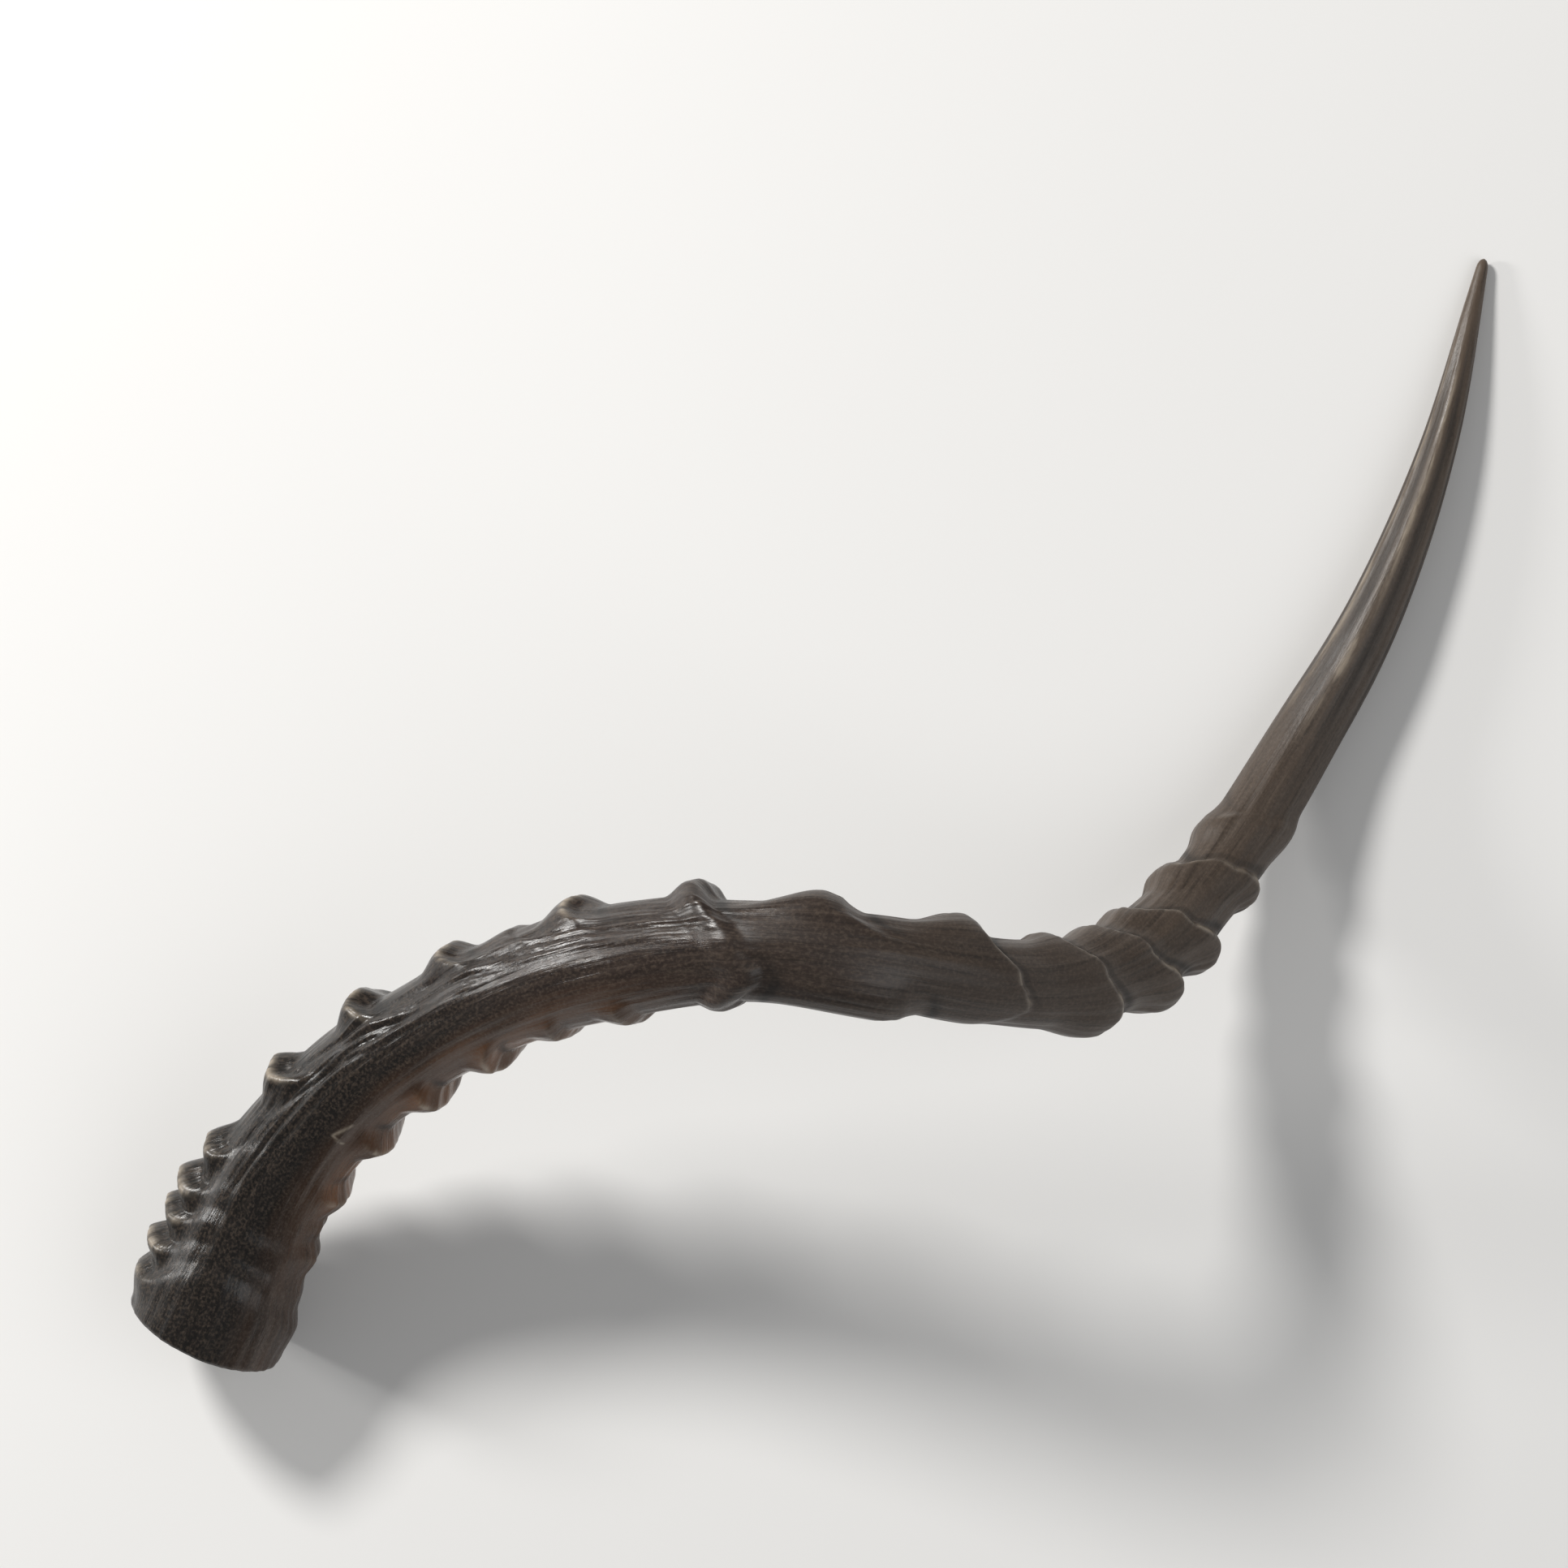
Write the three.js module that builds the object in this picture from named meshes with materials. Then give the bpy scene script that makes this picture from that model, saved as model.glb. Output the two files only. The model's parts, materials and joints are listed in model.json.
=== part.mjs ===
// Impala horn.
// One solid that grew as one piece, cut flat across its base and lying on a flat surface at z = 0.
// Millimetres, +Z up, longest along X, with the origin on the surface under the middle of the horn.
// It rests on the rim of the base cut and along the smooth point, and arches up between them.

import * as THREE from 'three';
import { mergeVertices } from 'three/addons/utils/BufferGeometryUtils.js';

// Middle line from the base cut to the point, measured from the middle of the cut
const MIDDLE_LINE = [
  [0, 0, 0],
  [21.8, 38.9, 17.5],
  [47.3, 63.4, 35.8],
  [77.7, 79.4, 56.1],
  [110.5, 89.4, 76.6],
  [145.5, 93.5, 95.4],
  [178.7, 93.2, 106.2],
  [207.7, 90.1, 101.2],
  [234.9, 87, 79.8],
  [256.9, 89.7, 52.9],
  [275.6, 102.2, 26.2],
  [295.1, 128.5, 3.7],
  [316.9, 165.5, -9.1],
  [338.8, 204.7, -11.7],
  [356.9, 251.2, -13.7],
  [371, 308, -18.7],
];

// Radius of the shaft between its rings, as [distance along the horn, radius]
const SHAFT = [
  [0, 23],
  [33, 19.5],
  [68, 17.2],
  [118, 15.6],
  [208, 15.3],
  [243, 14.2],
  [278, 13.2],
  [318, 12.2],
  [388, 12.2],
  [438, 10.8],
  [478, 9.7],
  [508, 8.2],
  [548, 6.1],
  [588, 3.7],
  [614, 1.7],
];
const POINT_ROUNDING = 3;

// The section is named by its four sides: a quarter turn each from rear to outer, front and inner.
// This is the way the outer side faces, nearly straight up as the horn lies.
const OUTER_WAY = new THREE.Vector3(0.201, -0.015, 0.98);
const OUTER_TO_REAR_RATIO = 0.96;

// Growth rings: where each crest crosses a side, and how far it stands out of the shaft there.
// They are bold knobs in front, full ledges inside, scallops behind and nearly smooth outside.
// swell is the length over which the shaft thickens towards the crest, and drop the step beyond it.
const RINGS = [
  { rear: [14, 1], outer: [24, 0.8], front: [17, 1.5], inner: [20, 2], swell: 7, drop: 4 },
  { rear: [20, 1.5], outer: [34, 0.8], front: [24, 4.5], inner: [30, 3], swell: 8, drop: 4 },
  { rear: [35, 3], outer: [46, 0.8], front: [33, 5.5], inner: [44, 3.5], swell: 10, drop: 4 },
  { rear: [46, 1.2], outer: [58, 0.8], front: [42, 7], inner: [55, 4], swell: 10, drop: 4 },
  { rear: [60, 3.5], outer: [70, 1], front: [53, 5.8], inner: [68, 4.5], swell: 12, drop: 5 },
  { rear: [87, 4], outer: [96, 0.5], front: [80, 5.5], inner: [94, 4.5], swell: 17, drop: 5 },
  { rear: [113, 4], outer: [125, 0.3], front: [111, 6.5], inner: [122, 4.5], swell: 18, drop: 6 },
  { rear: [142, 3.6], outer: [155, 0.3], front: [144, 6], inner: [154, 4], swell: 18, drop: 6 },
  { rear: [171, 2], outer: [178, 0.3], front: [165, 2], inner: [176, 2], swell: 14, drop: 5 },
  { rear: [198, 2.6], outer: [209, 0.4], front: [187, 5.5], inner: [202, 3.5], swell: 16, drop: 9 },
  { rear: [228, 3], outer: [240, 1.2], front: [225, 5.5], inner: [236, 3], swell: 14, drop: 7 },
  { rear: [268, 0.6], outer: [272, 1.2], front: [259, 5], inner: [270, 1.6], swell: 22, drop: 11 },
  { rear: [313, 0.4], outer: [312, 1.6], front: [299, 5], inner: [312, 1.6], swell: 24, drop: 12 },
  { rear: [349, 4.6], outer: [341, 2], front: [335, 1.8], inner: [346, 1.5], swell: 24, drop: 7 },
  { rear: [373, 5.4], outer: [365, 2.2], front: [358, 2.6], inner: [369, 1.5], swell: 14, drop: 7 },
  { rear: [394, 4.5], outer: [390, 2], front: [377, 2.6], inner: [390, 1.4], swell: 14, drop: 7 },
  { rear: [416, 3.2], outer: [414, 1.5], front: [401, 3], inner: [412, 1.2], swell: 14, drop: 7 },
  { rear: [436, 1.3], outer: [432, 0.6], front: [423, 1.6], inner: [430, 0.6], swell: 12, drop: 8 },
];

// Facets: short steps where the rings are, longer ones along the smooth point
const SIDES = 24;
const RINGED_LENGTH = 442;
const RINGED_STEPS = 172;
const POINT_STEPS = 20;
const STEPS = RINGED_STEPS + POINT_STEPS;
const MERGE_DISTANCE = 1e-4;

const middleLine = new THREE.CatmullRomCurve3(
  MIDDLE_LINE.map((point) => new THREE.Vector3(...point)),
);
middleLine.arcLengthDivisions = 2000;
const LENGTH = middleLine.getLength();

const shaftCurve = new THREE.CubicInterpolant(
  SHAFT.map(([distance]) => distance),
  SHAFT.map(([, radius]) => radius),
  1,
);

// Radius of the bare shaft, with the very end rounded off
function shaftRadius(distance) {
  const radius = shaftCurve.evaluate(Math.min(distance, SHAFT.at(-1)[0]))[0];
  const intoPoint = Math.max(0, distance - (LENGTH - POINT_ROUNDING)) / POINT_ROUNDING;
  return radius * Math.sqrt(Math.max(0.02, 1 - intoPoint ** 2));
}

// Where a ring's crest lies, and how high it is, at one angle round the section.
// The low relief of the outer side reaches further round than the relief of the inner side.
function ringAt(ring, angle) {
  const across = Math.cos(angle);
  const end = across > 0 ? ring.rear : ring.front;
  const face = Math.sin(angle) > 0 ? ring.outer : ring.inner;
  const endShare = across ** 2;
  const heightShare = face === ring.outer ? endShare ** 2 : endShare;
  return {
    crest: THREE.MathUtils.lerp(face[0], end[0], endShare),
    height: THREE.MathUtils.lerp(face[1], end[1], heightShare),
  };
}

// Height of the relief over the shaft: each ring swells slowly and then drops towards the point
function relief(distance, angle) {
  let highest = 0;
  for (const ring of RINGS) {
    const { crest, height } = ringAt(ring, angle);
    const beyond = distance - crest;
    const rising = THREE.MathUtils.clamp(1 + beyond / ring.swell, 0, 1) ** 1.6;
    const falling = THREE.MathUtils.smoothstep(-beyond, -ring.drop, 0);
    highest = Math.max(highest, height * rising * falling);
  }
  return highest;
}

// Distance along the horn of one row of vertices
function rowDistance(row) {
  if (row <= RINGED_STEPS) {
    return (RINGED_LENGTH * row) / RINGED_STEPS;
  }
  const share = (row - RINGED_STEPS) / POINT_STEPS;
  return RINGED_LENGTH + (LENGTH - RINGED_LENGTH) * (1 - (1 - share) ** 1.5);
}

// A capped cylinder gives the rows and the two flat ends, and each vertex moves onto the horn
function hornGeometry() {
  const geometry = new THREE.CylinderGeometry(1, 1, 1, SIDES, STEPS);
  const places = geometry.attributes.position;
  const place = new THREE.Vector3();
  for (let i = 0; i < places.count; i += 1) {
    place.fromBufferAttribute(places, i);
    const row = Math.round((place.y + 0.5) * STEPS);
    const distance = rowDistance(row);
    const middle = middleLine.getPointAt(distance / LENGTH);
    const along = middleLine.getTangentAt(distance / LENGTH);
    const rear = new THREE.Vector3().crossVectors(along, OUTER_WAY).normalize();
    const outer = new THREE.Vector3().crossVectors(rear, along);
    const angle = Math.atan2(place.z, place.x);
    const radius = Math.hypot(place.x, place.z) * (shaftRadius(distance) + relief(distance, angle));
    middle.addScaledVector(rear, radius * Math.cos(angle));
    middle.addScaledVector(outer, radius * Math.sin(angle) * OUTER_TO_REAR_RATIO);
    places.setXYZ(i, middle.x, middle.y, middle.z);
  }
  geometry.deleteAttribute('normal');
  geometry.deleteAttribute('uv');
  const closed = mergeVertices(geometry, MERGE_DISTANCE);
  closed.computeVertexNormals();
  return closed;
}

// Moves the geometry so that the origin is under its middle, on the surface it lies on
function standOnSurface(geometry) {
  geometry.computeBoundingBox();
  const { min, max } = geometry.boundingBox;
  geometry.translate(-(min.x + max.x) / 2, -(min.y + max.y) / 2, -min.z);
  return geometry;
}

const hornMaterial = new THREE.MeshStandardMaterial({
  color: 0x37302b,
  roughness: 0.5,
  metalness: 0,
});

const horn = new THREE.Mesh(standOnSurface(hornGeometry()), hornMaterial);
horn.name = 'horn';

const impalaHorn = new THREE.Group();
impalaHorn.add(horn);

export default impalaHorn;
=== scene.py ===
"""Impala horn: the looks.

One horn, cut off flat at its base and lying on a pale surface with its outer side up.
The horn is swept along its middle line. Its rings and ridges stand out of the shaft, and grooves and
flutes are cut into it. Distances on the horn are in millimetres, and angles run from its rear over its
outer side. The settings and the stage are in metres.
"""

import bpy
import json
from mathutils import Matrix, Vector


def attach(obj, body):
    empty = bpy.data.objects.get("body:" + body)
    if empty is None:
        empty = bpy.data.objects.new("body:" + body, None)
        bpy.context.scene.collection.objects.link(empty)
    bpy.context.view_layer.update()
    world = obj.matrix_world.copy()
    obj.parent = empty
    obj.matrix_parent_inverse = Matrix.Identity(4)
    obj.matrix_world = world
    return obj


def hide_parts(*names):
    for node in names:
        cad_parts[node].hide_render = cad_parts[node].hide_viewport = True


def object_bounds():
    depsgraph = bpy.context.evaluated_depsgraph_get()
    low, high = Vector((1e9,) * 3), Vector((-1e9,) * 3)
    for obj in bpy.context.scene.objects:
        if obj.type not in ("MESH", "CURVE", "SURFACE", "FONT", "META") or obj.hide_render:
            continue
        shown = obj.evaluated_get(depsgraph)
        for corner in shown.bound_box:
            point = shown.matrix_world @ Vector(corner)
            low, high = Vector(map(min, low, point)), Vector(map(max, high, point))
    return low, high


bl_info = {
    "name": "Impala Horn",
    "version": (1, 0, 0),
    "blender": (4, 5, 0),
    "location": "3D View > Sidebar > Horn",
    "description": "Models a ringed impala horn that lies on a pale surface",
    "category": "Add Mesh",
}

import bisect
import functools
import json
import math
from collections import namedtuple

import bmesh
import bpy
from bpy.props import FloatProperty, FloatVectorProperty, IntProperty, PointerProperty
from mathutils import Matrix, Vector, noise

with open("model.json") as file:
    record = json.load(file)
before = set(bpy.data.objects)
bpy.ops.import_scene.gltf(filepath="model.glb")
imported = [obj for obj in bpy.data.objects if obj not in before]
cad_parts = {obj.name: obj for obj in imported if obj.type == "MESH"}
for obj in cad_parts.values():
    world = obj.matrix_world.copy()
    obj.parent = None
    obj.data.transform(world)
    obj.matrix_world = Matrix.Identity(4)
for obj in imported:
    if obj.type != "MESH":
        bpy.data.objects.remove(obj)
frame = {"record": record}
CAD_LOW, CAD_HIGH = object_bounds()
CAD_MIDDLE = (CAD_LOW + CAD_HIGH) / 2

MM = 0.001
BODY = "root"
NODE = "horn"

# The line through the middle of the horn, from the base cut to the point
BASE_CENTRE = Vector(frame["record"]["mounts"][0]["pos_m"])
MIDDLE_LINE = (
    (0, 0, 0),
    (21.8, 38.9, 17.5),
    (47.3, 63.4, 35.8),
    (77.7, 79.4, 56.1),
    (110.5, 89.4, 76.6),
    (145.5, 93.5, 95.4),
    (178.7, 93.2, 106.2),
    (207.7, 90.1, 101.2),
    (234.9, 87, 79.8),
    (256.9, 89.7, 52.9),
    (275.6, 102.2, 26.2),
    (295.1, 128.5, 3.7),
    (316.9, 165.5, -9.1),
    (338.8, 204.7, -11.7),
    (356.9, 251.2, -13.7),
    (371, 308, -18.7),
)
LINE_STEPS = 120

# The way the outer side faces, and the section's size that way as a share of its size front to rear
OUTER_WAY = Vector((0.201, -0.015, 0.98)).normalized()
OUTER_TO_REAR_RATIO = 0.96

# Radius of the shaft between its rings, as (distance along the horn, radius)
SHAFT = (
    (0, 23),
    (14, 22.3),
    (33, 19.6),
    (68, 17),
    (100, 15.9),
    (130, 15),
    (165, 15.4),
    (208, 15.3),
    (243, 12.5),
    (278, 12.3),
    (318, 11.8),
    (345, 12.2),
    (385, 12),
    (402, 10.9),
    (438, 10.6),
    (478, 9.7),
    (508, 8.2),
    (548, 6.1),
    (588, 3.7),
    (614, 1.7),
)

# The very point is rounded off, and the rim of the base cut is broken
POINT_ROUNDING = 3
POINT_FLAT = 0.02
CUT_CHAMFER = 0.5
CHAMFER_LENGTH = 1.6

# Growth rings. Each side gives the crest's distance along the horn, its height, and the lengths over
# which it rises from the base side and falls towards the point. The leans carry the crest on towards
# the point halfway from the outer side to the rear and to the front.
Side = namedtuple("Side", "crest height rise fall")
Ring = namedtuple("Ring", "rear outer front inner rear_lean front_lean")
RINGS = tuple(
    Ring(*(Side(*side) for side in sides), rear_lean, front_lean)
    for *sides, rear_lean, front_lean in (
        ((11, 1.2, 8, 6), (22, 0.6, 8, 7), (13, 2.8, 9, 8), (20, 2.4, 4, 7), 0, 0),
        ((22, 0.3, 3, 4), (30, 0.3, 6, 6), (24, 4.8, 5, 6), (30, 2.6, 4, 7), 0, 0),
        ((35, 2.1, 7, 7), (38, 0.6, 7, 7), (34, 5.1, 5, 6), (44, 3.0, 4, 8), 0, 0),
        ((47, 0.6, 6, 5), (49, 0.2, 7, 6), (42, 6.0, 5, 8), (55, 3.2, 4, 8), 0, 0),
        ((60, 3.1, 9, 7), (64, 0.2, 9, 6), (53, 4.7, 5, 9), (68, 3.4, 5, 10), 0, 0),
        ((87, 4.3, 9, 8), (92, 0.1, 12, 6), (82, 5.0, 6, 8), (94, 3.4, 5, 12), 0, 0),
        ((115, 4.3, 10, 7), (122, 0.1, 12, 6), (113, 5.3, 6, 7), (122, 3.4, 5, 12), 0, 0),
        ((142, 3.9, 9, 7), (163, 0.2, 14, 8), (146, 3.9, 7, 8), (154, 3.2, 5, 12), 0, -2),
        ((171, 2.2, 8, 6), (182, 0.2, 12, 5), (167, 1.1, 8, 6), (176, 1.8, 5, 8), 0, 0),
        ((198, 2.3, 8, 7), (201, 0.2, 14, 8), (189, 4.1, 8, 10), (202, 2.8, 5, 12), 0, -2),
        ((230, 3.7, 8, 12), (236, 1.5, 7, 5), (224, 5.4, 8, 7), (236, 2.4, 5, 12), 7, -2),
        ((276, 3.7, 70, 14), (273, 0.3, 24, 12), (257, 4.9, 14, 13), (270, 1.6, 6, 14), 0, -6),
        ((303, 0.5, 20, 8), (310, 2.2, 26, 2.6), (297, 5.2, 15, 14), (312, 1.6, 8, 14), 8, -4),
        ((346, 4.3, 17, 9), (342, 2.3, 18, 2.6), (331, 2.3, 7, 9), (346, 1.5, 8, 10), 3, -4),
        ((373, 5.2, 12, 8), (363, 2.3, 14, 2.6), (354, 2.1, 10, 7), (369, 1.5, 8, 10), 2, -4),
        ((391, 4.3, 8, 7), (384, 2.2, 12, 2.6), (373, 2.4, 10, 8), (390, 1.4, 8, 10), 2, -5),
        ((415, 2.8, 6, 5), (411, 1.8, 12, 2.6), (400, 3.3, 8, 11), (412, 1.2, 8, 10), 2, -3),
        ((436, 1.4, 10, 9), (430, 0.8, 12, 4), (423, 2.1, 7, 13), (430, 0.7, 8, 10), 1, -2),
    )
)

# The first KNOB_RINGS rings have a knob in front and a scallop behind. The others go round like cups
# that stand in each other, and all but the first two of those have worn lips.
KNOB_RINGS = 10
LIPPED_RING = KNOB_RINGS + 2

# The horn thickens slowly over SLOW_SPAN rises before a crest, and steeply over the last rise
SLOW_SHARE = 0.3
SLOW_SPAN = 2.2
SLOW_POWER = 2
CREST_WIDTH = 1

# A ring leaves no trace this many falls beyond its crest
FALLS_BEYOND = 2

# How far round the outer side the two ends of a ring reach, from 1 for none to 0 for all the way
KNOB_REACHES = (0.68,) * 5 + (0.35,) * 5
SCALLOP_REACH = 0.7
CUP_REACH = 0.15
OUTER_POWER = 1.5

# The same for the height of a ring's front end round the inner side, and for the place of its crest
INNER_REACH = 0.55
INNER_CREST_REACH = (0.2, 0.95)

# The knobs curl back towards the base on both sides, at these angles and over these spreads
CURL = 3.6
CURLS = ((math.radians(151), math.radians(12)), (math.radians(202), math.radians(13)))

# A hollow behind each knob's lip
HOLLOW_DEPTH = 1.3
HOLLOW_PLACE, HOLLOW_LENGTH = 3.6, 1.7
HOLLOW_ANGLE, HOLLOW_SPREAD = math.radians(154), math.radians(11)

# Lips along the crests, pale with wear on the cups and with a painted highlight on the knobs. A crest as
# low as NO_LIP has none, and one of FULL_LIP is palest.
# On a cup the lip lies past the crest, at a share of the fall, and a soft fall doesn't show it.
LIP_HEIGHT = 0.08
LIP_WIDTH = 1.0
NO_LIP, FULL_LIP = 0.8, 3.5
CUP_LIP_PLACE = 0.4
CUP_WEAR = 1.5
SHARP_FALL, SOFT_FALL = 4, 9
INNER_WEAR = 0.6
INNER_WEAR_TURN = 0.4

# Painted shade darkens a crease at the foot of a ring, and on the inner side also at the foot of its rise
CREASE_WIDTH = 1.3

# The crests wander a little, more on the inner side than on the outer
INNER_WAVE, OUTER_WAVE = 1.1, 0.5
WAVE_TURN = 0.3
CREST_WAVE_SIZE = 5

# Lengthwise grooves beside the knobs
GROOVE_ANGLE = math.radians(122)
GROOVE_SPREAD = math.radians(19)
GROOVE_START, GROOVE_END = 42, 244
GROOVE_FADE = 22
GROOVE_SPACING = 2.5
GROOVE_LENGTH = 38
GROOVE_DRIFT = 0.05
GROOVE_RADIUS = 16
GROOVE_SHARPNESS = 3
GROOVE_WAVER, WAVER_LENGTH, WAVER_TURN = 0.8, 24, 2
GROOVE_STRENGTH, STRENGTH_CHANGE, STRENGTH_LENGTH = 0.7, 0.6, 18
GROOVE_SLICE, STRENGTH_SLICE = 3.3, 9.1
NO_GROOVE = 0.02

# Shallow flutes along the smooth point, with worn ridges between them
FLUTE_ANGLES = tuple(math.radians(a) for a in (16, 66, 125, 171))
FLUTE_SPREAD = math.radians(10)
RIDGE_ANGLES = tuple(math.radians(a) for a in (99, 151))
RIDGE_SPREAD = math.radians(7)
RIDGE_WEAR = 0.85
FLUTE_START, FLUTE_END = 448, 606
FLUTE_FADE = 45

# Slow swells, lengthwise ridges and coarse fibres, as (size across, size along, slice of the noise).
# They fade from a thick shaft to a thin one.
UNEVENNESS = ((14, 26, 0), (2.6, 70, 40), (1.3, 30, 90))
THIN_SHAFT, THICK_SHAFT = 2, 14

# How strongly painted shade darkens the grooves and the flutes
GROOVE_SHADE, FLUTE_SHADE = 0.8, 0.75

# An old scratch on the outer side of the base half, as (distance along the horn, angle)
SCRATCH = ((84.5, 0.84), (85.5, 1.1), (93, 0.94))
SCRATCH_WIDTH = 0.4
SCRATCH_WEAR = 0.95
SCRATCH_RADIUS = 16
SCRATCH_MARGIN = 2

# The mesh's rows are short where the rings are, and the last ones shorten again towards the point
RINGED_LENGTH = 446
RINGED_SHARE = 0.86
POINT_SPACING_POWER = 1.3

# Rounded angles let the rows share the rings that are worked out for them
ANGLE_DIGITS = 5

# The base cut's faces lie this near to its middle, and look this nearly along its normal
CUT_REGION = 30
CUT_FLATNESS = 0.99

# The body's colour along the horn, as (share of its length, the setting that holds the colour)
BODY_COLOURS = (
    (0, "base_colour"),
    (0.16, "base_colour"),
    (0.34, "middle_colour"),
    (0.62, "outer_colour"),
    (0.78, "outer_colour"),
    (1, "point_colour"),
)
BODY_DRIFT = 0.04

# The warm tint is partly the horn's brown and partly painted warm bounce light. It covers the rear from one
# distance behind the middle line to the other. Along the horn it grows and fades over two stretches, given
# as shares of the length.
REAR_EDGE, REAR_FULL = 4, 16
WARM_START, WARM_END = (0.02, 0.12), (0.24, 0.4)
WARM_AT_CUT = 0.25
WARM_LEAST = 0.45

# Streaks and mottle, as the part of the noise that they take up and how strong they get. The lighter
# streaks are weaker near the cut.
LIGHT_PART, LIGHT_STRENGTH = (0.5, 0.72), 0.3
LIGHT_START, LIGHT_AT_CUT = (0.05, 0.4), 0.35
DARK_PART, DARK_STRENGTH = (0.5, 0.3), 0.42
MOTTLE_PART, MOTTLE_STRENGTH = (0.4, 0.75), 0.38

# Painted shade in the hollows, and the chipped pale rims along the crests, which are worn and on the knobs'
# lips a painted highlight
HOLLOW_SHADE_STRENGTH = 0.75
CHIP_PART, CHIPPED_LEAST = (0.35, 0.6), 0.3
RIM_POWER, RIM_STRENGTH = 1.6, 0.75

# Roughness is lower on the base half than on the outer, but for a dull end at the cut
GLOSS_CHANGE = (-0.07, 0.1)
GLOSS_END = (0.3, 0.48)
DULL_END, DULLER = (0.03, 0.13), 0.1
HOLLOW_ROUGHNESS = 0.12
SPECULAR_LEVEL = 0.42

# Sizes across and along the horn of the patterns in its finish
CLOUD_SIZE = (20, 50)
WARM_SIZE = (8, 30)
STREAK_SIZE = (1.1, 30)
MOTTLE_SIZE = (0.8, 1)
CHIP_SIZE = (2.2, 14)
FIBRE_SIZE = (0.7, 22)
PORE_SIZE = (0.9, 1.6)
PORE_SHARE = 0.25
FIBRE_STRENGTH = 0.75
GLOSS_SIZE = (4, 30)

# The sawn face: growth lines that follow its outline, a dark rim and fine saw marks
GROWTH_LINE = 1.1
LINE_WAVER, LINE_WAVER_SIZE = 0.8, (6, 10)
LINE_TONES = (0.15, 0.6)
CUT_RIM = (17, 22)
SAW_SIZE = (0.6, 10)
SAW_DEPTH, SAW_STRENGTH = 0.2, 0.5
CUT_ROUGHNESS = 0.62

# Nearly all of a noise lies in this part of its range
NOISE_PART = (0.3, 0.7)

# The surface's clouds and their shade
FLOOR_CLOUDS = 3
FLOOR_SHADE = 0.96
FLOOR_ROUGHNESS = 0.8

# Lights, as (name, place, size, colour)
LIGHTS = (
    ("key", Vector((-1.1, 1.2, 1.45)), 0.5, (1, 0.985, 0.96)),
    ("fill", Vector((1.5, -0.7, 1.6)), 2.0, (0.97, 0.985, 1)),
    ("rim", Vector((-1.5, 0.3, 0.65)), 0.32, (1, 0.99, 0.97)),
)
UP = Vector((0, 0, 1))

# The camera looks at the horn from where the photograph sees it
CAMERA_PLACE = Vector((0.2805, -0.3085, 1.9828))
CAMERA_UP = Vector((0, 1, 0))


def mix(low, high, share):
    return low + (high - low) * share


def clamp(value):
    return min(1, max(0, value))


def smoothstep(low, high, value):
    share = clamp((value - low) / (high - low))
    return share * share * (3 - 2 * share)


def hermite(start, slope_in, end, slope_out, t):
    """The place at a share t of a curve from start to end with the given slopes."""
    return (
        start * (2 * t**3 - 3 * t**2 + 1)
        + slope_in * (t**3 - 2 * t**2 + t)
        + end * (3 * t**2 - 2 * t**3)
        + slope_out * (t**3 - t**2)
    )


def hump(offset, spread):
    """1 in the middle, falling off smoothly on both sides."""
    return math.exp(-((offset / spread) ** 2) / 2)


def colour(code):
    """Scene colour of a six-digit colour code as it shows on a screen."""
    shown = [int(code[i : i + 2], 16) / 255 for i in (0, 2, 4)]
    return tuple(v / 12.92 if v <= 0.04045 else ((v + 0.055) / 1.055) ** 2.4 for v in shown)


class MiddleLine:
    """A smooth line through the given points, measured along its length in millimetres."""

    def __init__(self, points):
        ends = [2 * points[0] - points[1], *points, 2 * points[-1] - points[-2]]
        self.places = [points[0].copy()]
        for i in range(1, len(ends) - 2):
            self._add_span(*ends[i - 1 : i + 3])
        self.distances = [0.0]
        for a, b in zip(self.places, self.places[1:]):
            self.distances.append(self.distances[-1] + (b - a).length)
        self.length = self.distances[-1]

    def _add_span(self, before, start, end, after):
        """Add the places from start to end, on a centripetal Catmull-Rom curve."""
        gaps = [math.sqrt((b - a).length) for a, b in ((before, start), (start, end), (end, after))]
        straight = (end - start) / gaps[1]
        slope_in = (start - before) / gaps[0] - (end - before) / (gaps[0] + gaps[1]) + straight
        slope_out = straight - (after - start) / (gaps[1] + gaps[2]) + (after - end) / gaps[2]
        for step in range(1, LINE_STEPS + 1):
            share = step / LINE_STEPS
            self.places.append(hermite(start, slope_in * gaps[1], end, slope_out * gaps[1], share))

    def at(self, distance):
        """The place at a distance along the line, and the way the line runs there."""
        i = min(max(bisect.bisect(self.distances, distance), 1), len(self.places) - 1)
        a, b = self.places[i - 1], self.places[i]
        share = (distance - self.distances[i - 1]) / (self.distances[i] - self.distances[i - 1])
        return a.lerp(b, clamp(share)), (b - a).normalized()


LINE = MiddleLine([Vector(point) for point in MIDDLE_LINE])


def shaft_radius(distance):
    """Radius of the bare shaft: a curve through SHAFT, with the cut's rim and the point rounded."""
    i = min(max(bisect.bisect([d for d, _ in SHAFT], distance), 1), len(SHAFT) - 1)
    (d0, r0), (d1, r1) = SHAFT[i - 1], SHAFT[i]
    before, after = SHAFT[max(i - 2, 0)], SHAFT[min(i + 1, len(SHAFT) - 1)]
    slope0 = (r1 - before[1]) / (d1 - before[0])
    slope1 = (after[1] - r0) / (after[0] - d0)
    gap = d1 - d0
    radius = hermite(r0, slope0 * gap, r1, slope1 * gap, clamp((distance - d0) / gap))
    radius -= CUT_CHAMFER * (1 - clamp(distance / CHAMFER_LENGTH)) ** 2
    into_point = clamp((distance - LINE.length + POINT_ROUNDING) / POINT_ROUNDING)
    return radius * math.sqrt(max(POINT_FLAT, 1 - into_point**2))


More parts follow.
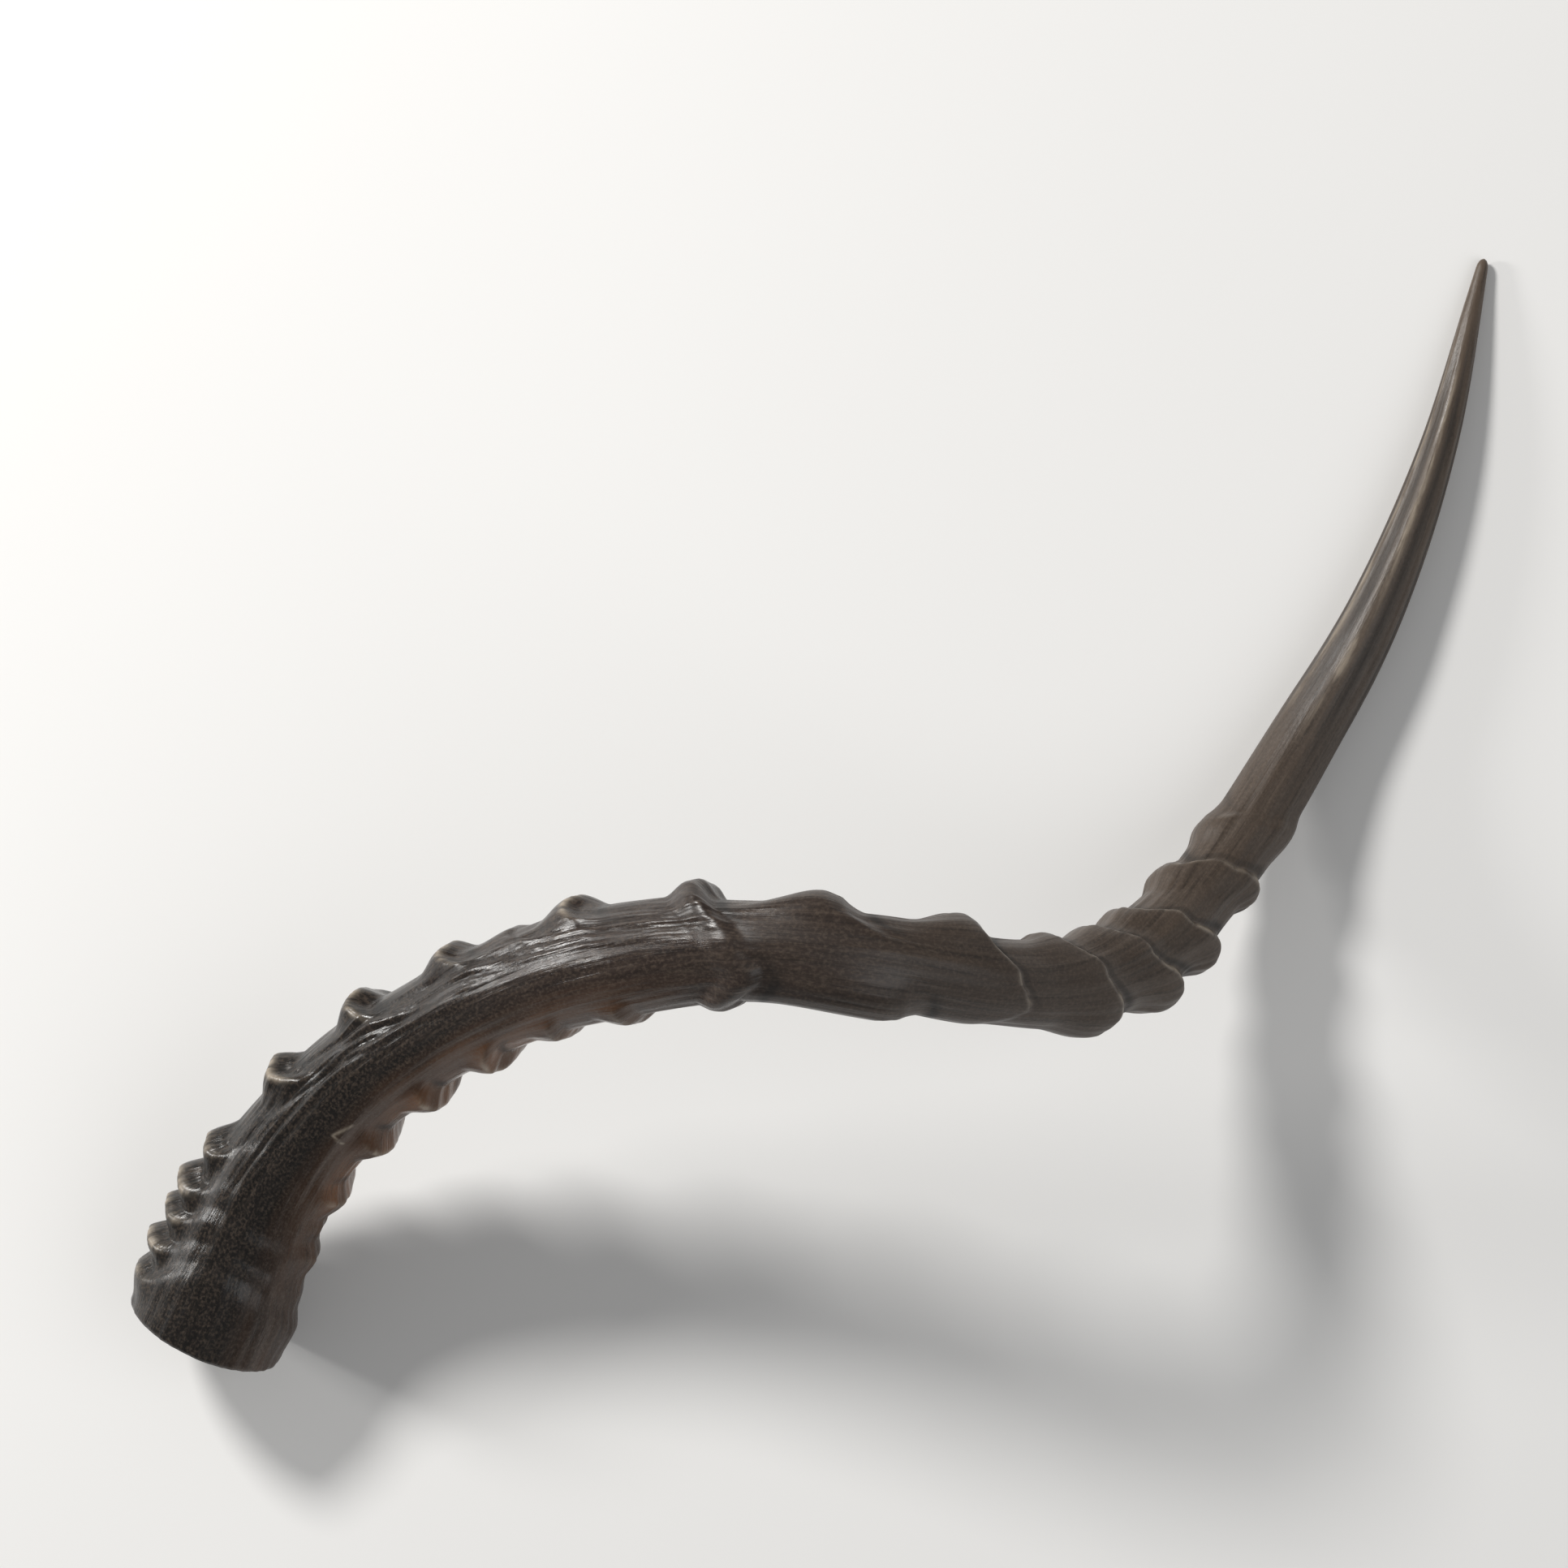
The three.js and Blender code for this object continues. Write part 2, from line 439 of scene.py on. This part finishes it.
@functools.lru_cache(maxsize=None)
def rings_at(angle):
    """Every ring's crest, height, rise and fall at one angle round the section.

    The angle runs from the rear over the outer side, the front and the inner side.
    """
    across = math.cos(angle)
    outward = math.sin(angle) > 0
    found = []
    for number, ring in enumerate(RINGS):
        end = ring.rear if across > 0 else ring.front
        face = ring.outer if outward else ring.inner
        share = height_share = length_share = across**2
        reach = CUP_REACH
        if number < KNOB_RINGS:
            reach = SCALLOP_REACH if across > 0 else KNOB_REACHES[number]
        if outward:
            height_share = smoothstep(reach, 1, abs(across)) ** OUTER_POWER
            length_share = share**2
        elif across < 0:
            share = smoothstep(*INNER_CREST_REACH, -across)
            height_share = smoothstep(INNER_REACH, 1, -across)
        crest = mix(face.crest, end.crest, share)
        if outward:
            crest += (ring.rear_lean if across > 0 else ring.front_lean) * math.sin(2 * angle) ** 2
        if number < KNOB_RINGS:
            for side_angle, spread_angle in CURLS:
                crest -= CURL * hump(angle - side_angle, spread_angle)
        round_place = Vector((math.cos(angle), math.sin(angle), number)) * CREST_WAVE_SIZE
        wave = mix(INNER_WAVE, OUTER_WAVE, smoothstep(-WAVE_TURN, WAVE_TURN, math.sin(angle)))
        crest += wave * noise.noise(round_place)
        found.append(
            Side(
                crest,
                mix(face.height, end.height, height_share),
                mix(face.rise, end.rise, length_share),
                mix(face.fall, end.fall, length_share),
            )
        )
    return found


def ring_relief(distance, angle):
    """Height of the rings over the shaft, how far the place is a pale crest (worn, and on a knob a painted
    highlight), and how much painted shade lies at a ring's foot.
    """
    relief, worn, dirty = 0.0, 0.0, 0.0
    wear = mix(INNER_WEAR, 1, smoothstep(-INNER_WEAR_TURN, 0, math.sin(angle)))
    for number, side in enumerate(rings_at(angle)):
        beyond = distance - side.crest
        start = -SLOW_SPAN * side.rise - CREASE_WIDTH
        if not start <= beyond <= FALLS_BEYOND * side.fall:
            continue
        knobbed = number < KNOB_RINGS
        lip_place = 0 if knobbed else CUP_LIP_PLACE * side.fall
        sharp = 1 if knobbed else 0
        if number >= LIPPED_RING:
            sharp = CUP_WEAR * (1 - smoothstep(SHARP_FALL, SOFT_FALL, side.fall))
        slow = clamp(1 + beyond / (SLOW_SPAN * side.rise)) ** SLOW_POWER
        steep = smoothstep(-side.rise - CREST_WIDTH, -CREST_WIDTH, beyond)
        rising = mix(steep, slow, SLOW_SHARE)
        height = side.height * rising * (1 - smoothstep(0, side.fall, beyond))
        strength = clamp((side.height - NO_LIP) / (FULL_LIP - NO_LIP))
        lip = hump(beyond - lip_place, LIP_WIDTH)
        if knobbed:
            hollow = hump(beyond - HOLLOW_PLACE, HOLLOW_LENGTH)
            height -= HOLLOW_DEPTH * hollow * hump(angle - HOLLOW_ANGLE, HOLLOW_SPREAD)
        relief = max(relief, height + LIP_HEIGHT * side.height * lip)
        # A pale lip: a painted highlight on a knob, wear on a cup
        worn = max(worn, wear * min(1, strength * sharp) * lip)
        # Painted shade: darker in the crease past a ring's fall, and on the inner side also where its rise
        # starts
        foot = hump(beyond - side.fall - CREASE_WIDTH, CREASE_WIDTH)
        if math.sin(angle) < 0:
            foot += hump(beyond + side.rise, CREASE_WIDTH)
        dirty = max(dirty, strength * foot)
    return relief, worn, min(1, dirty)


def groove_depth(distance, angle):
    """Depth from 0 to 1 of the lengthwise grooves that run beside the knobs."""
    band = hump(angle - GROOVE_ANGLE, GROOVE_SPREAD)
    band *= smoothstep(GROOVE_START, GROOVE_START + GROOVE_FADE, distance)
    band *= 1 - smoothstep(GROOVE_END - GROOVE_FADE, GROOVE_END, distance)
    if band < NO_GROOVE:
        return 0.0
    arc = (angle * GROOVE_RADIUS + distance * GROOVE_DRIFT) / GROOVE_SPACING
    waver = GROOVE_WAVER * noise.noise(Vector((distance / WAVER_LENGTH, angle * WAVER_TURN, 0)))
    wave = noise.noise(Vector((arc + waver, distance / GROOVE_LENGTH, GROOVE_SLICE)))
    change = noise.noise(Vector((arc / 2, distance / STRENGTH_LENGTH, STRENGTH_SLICE)))
    strength = GROOVE_STRENGTH + STRENGTH_CHANGE * change
    return band * strength * (1 - min(1, abs(wave) * GROOVE_SHARPNESS))


def flutes_at(distance, angle):
    """Depth from 0 to 1 of the flutes along the smooth point, and the wear of the ridges between."""
    lasting = smoothstep(FLUTE_START, FLUTE_START + FLUTE_FADE, distance)
    lasting *= 1 - smoothstep(FLUTE_END - FLUTE_FADE, FLUTE_END, distance)
    depth = sum(hump(angle - place, FLUTE_SPREAD) for place in FLUTE_ANGLES)
    wear = RIDGE_WEAR * sum(hump(angle - place, RIDGE_SPREAD) for place in RIDGE_ANGLES)
    return lasting * depth, lasting * wear


def scratch_mark(distance, angle):
    """How worn a place is by the old scratch."""
    nearest = math.inf
    for start, end in zip(SCRATCH, SCRATCH[1:]):
        if not start[0] - SCRATCH_MARGIN < distance < end[0] + SCRATCH_MARGIN:
            continue
        a, b = (Vector((place[0], place[1] * SCRATCH_RADIUS)) for place in (start, end))
        spot = Vector((distance, angle * SCRATCH_RADIUS))
        share = clamp((spot - a).dot(b - a) / (b - a).length_squared)
        nearest = min(nearest, (spot - a.lerp(b, share)).length)
    return SCRATCH_WEAR * hump(nearest, SCRATCH_WIDTH)


def unevenness(distance, angle, radius):
    """Swells, ridges and coarse fibres all over the horn, from -1 to 1 each."""
    x, y = radius * math.cos(angle), radius * math.sin(angle)
    return [
        noise.noise(Vector((x / across, y / across, distance / along + part)))
        for across, along, part in UNEVENNESS
    ]


def row_distance(share):
    """Distance along the horn of a row of vertices, from its share of the rows."""
    if share <= RINGED_SHARE:
        return RINGED_LENGTH * share / RINGED_SHARE
    rest = (share - RINGED_SHARE) / (1 - RINGED_SHARE)
    reached = 1 - (1 - rest) ** POINT_SPACING_POWER
    return RINGED_LENGTH + (LINE.length - RINGED_LENGTH) * reached


@functools.lru_cache(maxsize=None)
def section(distance):
    """Middle, rear way, outer way and shaft radius of the section at a distance along the horn."""
    middle, along = LINE.at(distance)
    rear = along.cross(OUTER_WAY).normalized()
    return middle, rear, rear.cross(along), shaft_radius(distance)


def blank(shape):
    """A capped cylinder, 1 in radius and 1 long, with the rows and sides of the horn."""
    bm = bmesh.new()
    bmesh.ops.create_cone(
        bm, cap_ends=True, cap_tris=False, segments=shape.sides, radius1=1, radius2=1, depth=1
    )
    lengthwise = [e for e in bm.edges if abs(e.verts[0].co.z - e.verts[1].co.z) > 0.5]
    bmesh.ops.subdivide_edges(bm, edges=lengthwise, cuts=shape.rows - 1, use_grid_fill=True)
    ends = [f for f in bm.faces if len(f.verts) > 4]
    step = 1 / (shape.cut_rings + 1)
    for _ in range(shape.cut_rings):
        bmesh.ops.inset_region(bm, faces=ends, thickness=step, use_even_offset=True)
    bmesh.ops.poke(bm, faces=ends)
    return bm


def surface_at(distance, angle, shaft, shape):
    """How far the surface stands out of the shaft at a place, how pale its crest is (worn, and on a knob a
    painted highlight) and how much painted shade darkens it.
    """
    rings, crest, foot = ring_relief(distance, angle)
    groove = groove_depth(distance, angle)
    flute, ridge_wear = flutes_at(distance, angle)
    swell, ridge, fibre = unevenness(distance, angle, shaft)
    thick = smoothstep(THIN_SHAFT, THICK_SHAFT, shaft)
    rough = thick * (shape.ridge_height * ridge + shape.fibre_height * fibre)
    rough += shape.swell_height * swell - shape.groove_depth * groove
    height = shape.ring_height * rings + (thick * rough - shape.flute_depth * flute) / MM
    worn = max(crest, ridge_wear, scratch_mark(distance, angle))
    # Painted shade in the ring creases, the grooves and the flutes
    dirty = clamp(foot + GROOVE_SHADE * clamp(groove) + FLUTE_SHADE * flute)
    return height, worn, dirty


def carve(bm, shape):
    """Move the blank onto the horn, and note each vertex's place in the grain, its pale wear and painted
    highlight, and its painted shade.
    """
    grain = bm.verts.layers.float_vector.new("grain")
    # The pale crests are wear, with a painted highlight on the knobs' lips
    worn = bm.verts.layers.float.new("worn")
    dirty = bm.verts.layers.float.new("dirty")
    for vert in bm.verts:
        out = math.hypot(vert.co.x, vert.co.y)
        distance = row_distance(round((vert.co.z + 0.5) * shape.rows) / shape.rows)
        angle = round(math.atan2(vert.co.y, vert.co.x) % math.tau, ANGLE_DIGITS)
        middle, rear, outer, shaft = section(distance)
        height, vert[worn], vert[dirty] = surface_at(distance, angle, shaft, shape)
        rearward, outward = math.cos(angle), math.sin(angle)
        vert[grain] = Vector((out * shaft * rearward, out * shaft * outward, distance)) * MM
        radius = out * (shaft + height)
        place = middle + rear * (radius * rearward)
        place += outer * (radius * outward * OUTER_TO_REAR_RATIO)
        vert.co = BASE_CENTRE + place * MM


def turn_faces_out(bm):
    """Make all faces agree, and turn them round together where they came out facing inwards."""
    bmesh.ops.recalc_face_normals(bm, faces=bm.faces)
    if bm.calc_volume(signed=True) < 0:
        bmesh.ops.reverse_faces(bm, faces=bm.faces)


def finish_faces(bm):
    """Shade the horn smooth and its base cut flat, and give the cut the second material."""
    _, rear, outer, _ = section(0.0)
    cut_normal = rear.cross(outer)
    for face in bm.faces:
        near = all((v.co - BASE_CENTRE).length < CUT_REGION * MM for v in face.verts)
        on_cut = near and abs(face.normal.dot(cut_normal)) > CUT_FLATNESS
        face.smooth = not on_cut
        face.material_index = 1 if on_cut else 0


def horn_mesh(shape):
    """The horn with all its relief, where its solid lies."""
    bm = blank(shape)
    carve(bm, shape)
    turn_faces_out(bm)
    finish_faces(bm)
    mesh = bpy.data.meshes.new("horn_detail")
    bm.to_mesh(mesh)
    bm.free()
    return mesh


def set_inputs(material, node, inputs):
    """Set or link some inputs of a node."""
    for name, value in inputs.items():
        if isinstance(value, bpy.types.NodeSocket):
            material.node_tree.links.new(value, node.inputs[name])
        else:
            node.inputs[name].default_value = value


def add_node(material, kind, settings=None, inputs=None):
    """A shader node with its settings, and its inputs set or linked."""
    node = material.node_tree.nodes.new(kind)
    for name, value in (settings or {}).items():
        setattr(node, name, value)
    set_inputs(material, node, inputs or {})
    return node


def attribute(material, name, output="Fac"):
    return add_node(material, "ShaderNodeAttribute", {"attribute_name": name}).outputs[output]


def blend_colour(material, factor, first, second):
    """A mix of two colours, each a socket or a plain colour."""
    inputs = {0: factor}
    for index, value in ((6, first), (7, second)):
        inputs[index] = value if isinstance(value, bpy.types.NodeSocket) else (*value, 1)
    return add_node(material, "ShaderNodeMix", {"data_type": "RGBA"}, inputs).outputs[2]


def maths(material, operation, *values):
    """One maths node on one or two values."""
    settings = {"operation": operation}
    return add_node(material, "ShaderNodeMath", settings, dict(enumerate(values))).outputs[0]


def combine(material, operation, first, *others):
    """Several values added or multiplied together."""
    for other in others:
        first = maths(material, operation, first, other)
    return first


def spread(material, value, low, high, new_low=0, new_high=1):
    """A value that runs from low to high, spread over new_low to new_high."""
    inputs = {"Value": value, "From Min": low, "From Max": high, "To Min": new_low, "To Max": new_high}
    settings = {"interpolation_type": "SMOOTHSTEP"}
    return add_node(material, "ShaderNodeMapRange", settings, inputs).outputs["Result"]


def grain_noise(material, size, detail=3, roughness=0.55):
    """Noise on the straightened horn, with features of the given size across and along it."""
    across, along = (1 / (length * MM) for length in size)
    inputs = {"Vector": attribute(material, "grain", "Vector"), "Scale": (across, across, along)}
    grain = add_node(material, "ShaderNodeMapping", None, inputs).outputs[0]
    inputs = {"Vector": grain, "Scale": 1, "Detail": detail, "Roughness": roughness}
    return add_node(material, "ShaderNodeTexNoise", None, inputs).outputs["Fac"]


def varied(material, size, low, high, detail=3):
    """A value that wanders between low and high over the horn."""
    return spread(material, grain_noise(material, size, detail), *NOISE_PART, low, high)


def bumped(material, height, strength, distance):
    """The surface's normals, with a height standing out of it."""
    inputs = {"Height": height, "Strength": strength, "Distance": distance}
    return add_node(material, "ShaderNodeBump", None, inputs).outputs[0]


def colour_ramp(material, value, stops):
    """Colours along a value, as (position, colour)."""
    ramp = add_node(material, "ShaderNodeValToRGB", None, {"Fac": value})
    elements = ramp.color_ramp.elements
    while len(elements) < len(stops):
        elements.new(1)
    for element, (position, tint) in zip(elements, stops):
        element.position = position
        element.color = (*tint, 1)
    return ramp.outputs["Color"]


def new_material(name):
    """An empty material, and the shader that its look is linked to."""
    material = bpy.data.materials.new(name)
    material.use_nodes = True
    material.node_tree.nodes.clear()
    shader = add_node(material, "ShaderNodeBsdfPrincipled")
    add_node(material, "ShaderNodeOutputMaterial", None, {"Surface": shader.outputs[0]})
    return material, shader


def grain_place(material):
    """Distances to the rear of the straightened horn's middle, to its outer side and along it."""
    inputs = {0: attribute(material, "grain", "Vector")}
    return add_node(material, "ShaderNodeSeparateXYZ", None, inputs).outputs


def body_colour(material, finish, along, rearward):
    """Dark at the base and grey-brown at the point, with a warm rear that is partly painted bounce light,
    streaks and mottle.
    """
    drift = varied(material, CLOUD_SIZE, -BODY_DRIFT, BODY_DRIFT)
    stops = [(share, getattr(finish, name)) for share, name in BODY_COLOURS]
    body = colour_ramp(material, maths(material, "ADD", along, drift), stops)
    # The rear's warm brown, brightened with painted warm bounce light
    warm_and_bounce = combine(
        material,
        "MULTIPLY",
        spread(material, rearward, REAR_EDGE * MM, REAR_FULL * MM),
        spread(material, along, *WARM_END, 1, 0),
        spread(material, along, *WARM_START, WARM_AT_CUT, 1),
        varied(material, WARM_SIZE, WARM_LEAST, 1, detail=1),
    )
    streaks = grain_noise(material, STREAK_SIZE, detail=4, roughness=0.65)
    lighter = maths(
        material,
        "MULTIPLY",
        spread(material, streaks, *LIGHT_PART, 0, LIGHT_STRENGTH),
        spread(material, along, *LIGHT_START, LIGHT_AT_CUT, 1),
    )
    darker = spread(material, streaks, *DARK_PART, 0, DARK_STRENGTH)
    specks = grain_noise(material, MOTTLE_SIZE, detail=2)
    mottle = spread(material, specks, *MOTTLE_PART, 0, MOTTLE_STRENGTH)
    body = blend_colour(material, warm_and_bounce, body, finish.rear_tint_and_bounce_colour)
    body = blend_colour(material, lighter, body, finish.streak_colour)
    body = blend_colour(material, darker, body, finish.dark_streak_and_shade_colour)
    return blend_colour(material, mottle, body, finish.streak_colour)


def shade_and_rim_colour(material, finish, body):
    """The body's colour with painted shade in its creases, grooves and flutes, and pale, chipped rims along
    the crests, worn ones and, on the knobs, painted highlights.
    """
    # Painted shade darkens the creases, grooves and flutes
    painted_shade = maths(material, "MULTIPLY", attribute(material, "dirty"), HOLLOW_SHADE_STRENGTH)
    body = blend_colour(material, painted_shade, body, finish.dark_streak_and_shade_colour)
    # Pale chipped rims: wear on the cups' lips, the point's ridges and the scratch, and a painted highlight
    # on the knobs' lips
    chipped = spread(material, grain_noise(material, CHIP_SIZE), *CHIP_PART, CHIPPED_LEAST, 1)
    rim = maths(material, "MULTIPLY", attribute(material, "worn"), chipped)
    rim = maths(material, "MULTIPLY", maths(material, "POWER", rim, RIM_POWER), RIM_STRENGTH)
    return blend_colour(material, rim, body, finish.rim_wear_and_glint_colour)


def horn_material(finish):
    """Satin horn with fibres and pores, pale crests that are partly worn and partly painted highlights, and
    painted shade in its creases, grooves and flutes.
    """
    material, shader = new_material("horn_surface")
    rearward, _, distance = grain_place(material)
    along = maths(material, "DIVIDE", distance, LINE.length * MM)
    body = body_colour(material, finish, along, rearward)
    roughness = combine(
        material,
        "ADD",
        varied(material, GLOSS_SIZE, *GLOSS_CHANGE),
        spread(material, along, *GLOSS_END, finish.roughness, finish.outer_roughness),
        spread(material, along, *DULL_END, DULLER, 0),
        maths(material, "MULTIPLY", attribute(material, "dirty"), HOLLOW_ROUGHNESS),
    )
    fibres = grain_noise(material, FIBRE_SIZE, detail=4, roughness=0.6)
    pores = maths(material, "MULTIPLY", grain_noise(material, PORE_SIZE, detail=2), PORE_SHARE)
    height = maths(material, "ADD", fibres, pores)
    look = {
        "Base Color": shade_and_rim_colour(material, finish, body),
        "Roughness": roughness,
        "Normal": bumped(material, height, FIBRE_STRENGTH, finish.fibre_bump),
        "Specular IOR Level": SPECULAR_LEVEL,
    }
    set_inputs(material, shader, look)
    return material


def cut_material(finish):
    """The sawn face: dull horn with close growth lines that follow the outline."""
    material, shader = new_material("horn_cut")
    rearward, outward, _ = grain_place(material)
    squares = [maths(material, "POWER", side, 2) for side in (rearward, outward)]
    from_middle = maths(material, "SQRT", maths(material, "ADD", *squares))
    waver = varied(material, LINE_WAVER_SIZE, -LINE_WAVER * MM, LINE_WAVER * MM)
    radius = maths(material, "ADD", from_middle, waver)
    lines = maths(material, "SINE", maths(material, "MULTIPLY", radius, math.tau / (GROWTH_LINE * MM)))
    tone = spread(material, lines, -1, 1, *LINE_TONES)
    face = blend_colour(material, tone, finish.middle_colour, finish.streak_colour)
    rim = spread(material, from_middle, *(edge * MM for edge in CUT_RIM))
    look = {
        "Base Color": blend_colour(material, rim, face, finish.base_colour),
        "Roughness": CUT_ROUGHNESS,
        "Normal": bumped(material, grain_noise(material, SAW_SIZE), SAW_STRENGTH, SAW_DEPTH * MM),
    }
    set_inputs(material, shader, look)
    return material


def floor_material(stage):
    """A plain pale surface with a trace of unevenness."""
    material, shader = new_material("pale_surface")
    place = add_node(material, "ShaderNodeTexCoord").outputs["Object"]
    inputs = {"Vector": place, "Scale": FLOOR_CLOUDS, "Detail": 2}
    cloud = add_node(material, "ShaderNodeTexNoise", None, inputs).outputs["Fac"]
    shade = tuple(v * FLOOR_SHADE for v in stage.floor_colour)
    tone = blend_colour(material, cloud, stage.floor_colour, shade)
    set_inputs(material, shader, {"Base Color": tone, "Roughness": FLOOR_ROUGHNESS})
    return material


def place_object(name, data):
    thing = bpy.data.objects.new(name, data)
    bpy.context.scene.collection.objects.link(thing)
    return thing


def facing(place, target, up):
    """The matrix of something at place that looks at target, as cameras and lights do."""
    back = (place - target).normalized()
    right = up.cross(back).normalized()
    turned = Matrix((right, back.cross(right), back)).transposed()
    return Matrix.Translation(place) @ turned.to_4x4()


class HornShape(bpy.types.PropertyGroup):
    """Sizes of the horn's surface detail."""

    sides: IntProperty(name="Sides", description="Facets round the horn", default=144, min=24)
    rows: IntProperty(name="Rows", description="Rows of facets along the horn", default=656, min=100)
    cut_rings: IntProperty(
        name="Cut rings", description="Rings of faces on the base cut", default=3, min=1
    )
    ring_height: FloatProperty(
        name="Ring height", description="Share of the rings' full height", default=1, subtype="FACTOR"
    )
    swell_height: FloatProperty(
        name="Swell", description="Height of the slow unevenness", default=0.00025, unit="LENGTH"
    )
    ridge_height: FloatProperty(
        name="Ridges", description="Height of the lengthwise ridges", default=0.0004, unit="LENGTH"
    )
    fibre_height: FloatProperty(
        name="Fibres", description="Height of the coarse fibres", default=0.00014, unit="LENGTH"
    )
    groove_depth: FloatProperty(
        name="Grooves", description="Depth of the grooves beside the knobs", default=0.0013, unit="LENGTH"
    )
    flute_depth: FloatProperty(
        name="Flutes", description="Depth of the flutes along the point", default=0.0006, unit="LENGTH"
    )


class HornFinish(bpy.types.PropertyGroup):
    """Colours and gloss of the horn."""

    base_colour: FloatVectorProperty(
        name="Base", description="Colour near the base cut", default=colour("151210"), subtype="COLOR"
    )
    middle_colour: FloatVectorProperty(
        name="Middle", description="Colour of the ringed middle", default=colour("2d2420"), subtype="COLOR"
    )
    outer_colour: FloatVectorProperty(
        name="Outer part", description="Colour of the last rings", default=colour("473c33"), subtype="COLOR"
    )
    point_colour: FloatVectorProperty(
        name="Point", description="Colour of the smooth point", default=colour("594c40"), subtype="COLOR"
    )
    # Warm brown on the rear, partly painted warm bounce light
    rear_tint_and_bounce_colour: FloatVectorProperty(
        name="Rear", description="Warm tint behind the base half", default=colour("704b2f"), subtype="COLOR"
    )
    streak_colour: FloatVectorProperty(
        name="Streaks", description="Colour of the paler fibres", default=colour("615449"), subtype="COLOR"
    )
    # Pale rims: wear, and a painted highlight on the knobs' lips
    rim_wear_and_glint_colour: FloatVectorProperty(
        name="Worn rims", description="Colour of the worn crests", default=colour("a69a8a"), subtype="COLOR"
    )
    # Dark streaks, and the painted shade in the creases, grooves and flutes
    dark_streak_and_shade_colour: FloatVectorProperty(
        name="Creases", description="Colour of dirt in creases", default=colour("0b0a09"), subtype="COLOR"
    )
    roughness: FloatProperty(
        name="Roughness",
        description="Roughness of the base half",
        default=0.21,
        min=0,
        max=1,
        subtype="FACTOR",
    )
    outer_roughness: FloatProperty(
        name="Outer roughness",
        description="Roughness of the last rings and the point",
        default=0.4,
        min=0,
        max=1,
        subtype="FACTOR",
    )
    fibre_bump: FloatProperty(
        name="Fibre bump", description="Height of the finest fibres", default=0.0002, unit="LENGTH"
    )


class HornStage(bpy.types.PropertyGroup):
    """Surface, light and camera."""

    floor_colour: FloatVectorProperty(
        name="Surface", description="Colour of the surface", default=(0.8, 0.795, 0.785), subtype="COLOR"
    )
    floor_size: FloatProperty(
        name="Surface size", description="Half the surface's width", default=4, unit="LENGTH"
    )
    key_power: FloatProperty(
        name="Key light", description="Power of the main light", default=41, unit="POWER"
    )
    fill_power: FloatProperty(
        name="Fill light", description="Power of the soft fill", default=14, unit="POWER"
    )
    rim_power: FloatProperty(
        name="Rim light", description="Power of the low side light", default=10, unit="POWER"
    )
    sky_strength: FloatProperty(
        name="Room light", description="Strength of the even light", default=0.21
    )
    lens: FloatProperty(name="Lens", description="Focal length", default=160, unit="CAMERA")


class MESH_OT_impala_horn(bpy.types.Operator):
    """Model the ringed horn and put it where its solid lies"""

    bl_idname = "mesh.impala_horn"
    bl_label = "Impala Horn"

    def execute(self, context):
        mesh = horn_mesh(context.scene.horn_shape)
        mesh.materials.append(horn_material(context.scene.horn_finish))
        mesh.materials.append(cut_material(context.scene.horn_finish))
        horn = place_object("impala_horn", mesh)
        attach(horn, BODY)
        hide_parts(NODE)
        return {"FINISHED"}


class SCENE_OT_horn_stage(bpy.types.Operator):
    """Lay the pale surface, set the lights and aim the camera"""

    bl_idname = "scene.horn_stage"
    bl_label = "Stage"

    def execute(self, context):
        stage = context.scene.horn_stage
        bm = bmesh.new()
        bmesh.ops.create_grid(bm, x_segments=1, y_segments=1, size=stage.floor_size)
        mesh = bpy.data.meshes.new("surface")
        bm.to_mesh(mesh)
        bm.free()
        mesh.materials.append(floor_material(stage))
        floor = place_object("surface", mesh)
        self.light_scene(context, stage)
        self.aim_camera(context, stage)
        return {"FINISHED"}

    def light_scene(self, context, stage):
        for name, place, size, tint in LIGHTS:
            data = bpy.data.lights.new(name, "AREA")
            data.shape = "DISK"
            data.size = size
            data.energy = getattr(stage, name + "_power")
            data.color = tint
            place_object(name, data).matrix_world = facing(place, CAD_MIDDLE, UP)
        world = bpy.data.worlds.new("room")
        world.use_nodes = True
        background = world.node_tree.nodes["Background"]
        background.inputs["Color"].default_value = (1, 1, 1, 1)
        background.inputs["Strength"].default_value = stage.sky_strength
        context.scene.world = world
        context.scene.view_settings.view_transform = "Standard"

    def aim_camera(self, context, stage):
        data = bpy.data.cameras.new("camera")
        data.lens = stage.lens
        camera = place_object("camera", data)
        camera.matrix_world = facing(CAMERA_PLACE, CAD_MIDDLE, CAMERA_UP)
        context.scene.camera = camera


class VIEW3D_PT_impala_horn(bpy.types.Panel):
    """Lists the horn's settings and the operators that make it"""

    bl_label = "Impala Horn"
    bl_space_type = "VIEW_3D"
    bl_region_type = "UI"
    bl_category = "Horn"

    def draw(self, context):
        groups = (
            (MESH_OT_impala_horn, (context.scene.horn_shape, context.scene.horn_finish)),
            (SCENE_OT_horn_stage, (context.scene.horn_stage,)),
        )
        for operator, settings in groups:
            box = self.layout.box()
            box.operator(operator.bl_idname)
            for group in settings:
                for name in group.__annotations__:
                    box.prop(group, name)


CLASSES = (
    HornShape,
    HornFinish,
    HornStage,
    MESH_OT_impala_horn,
    SCENE_OT_horn_stage,
    VIEW3D_PT_impala_horn,
)


def register():
    for cls in CLASSES:
        bpy.utils.register_class(cls)
    bpy.types.Scene.horn_shape = PointerProperty(type=HornShape)
    bpy.types.Scene.horn_finish = PointerProperty(type=HornFinish)
    bpy.types.Scene.horn_stage = PointerProperty(type=HornStage)


def unregister():
    del bpy.types.Scene.horn_stage
    del bpy.types.Scene.horn_finish
    del bpy.types.Scene.horn_shape
    for cls in reversed(CLASSES):
        bpy.utils.unregister_class(cls)


def main():
    register()
    bpy.ops.mesh.impala_horn()
    bpy.ops.scene.horn_stage()


if __name__ == "__main__":
    main()
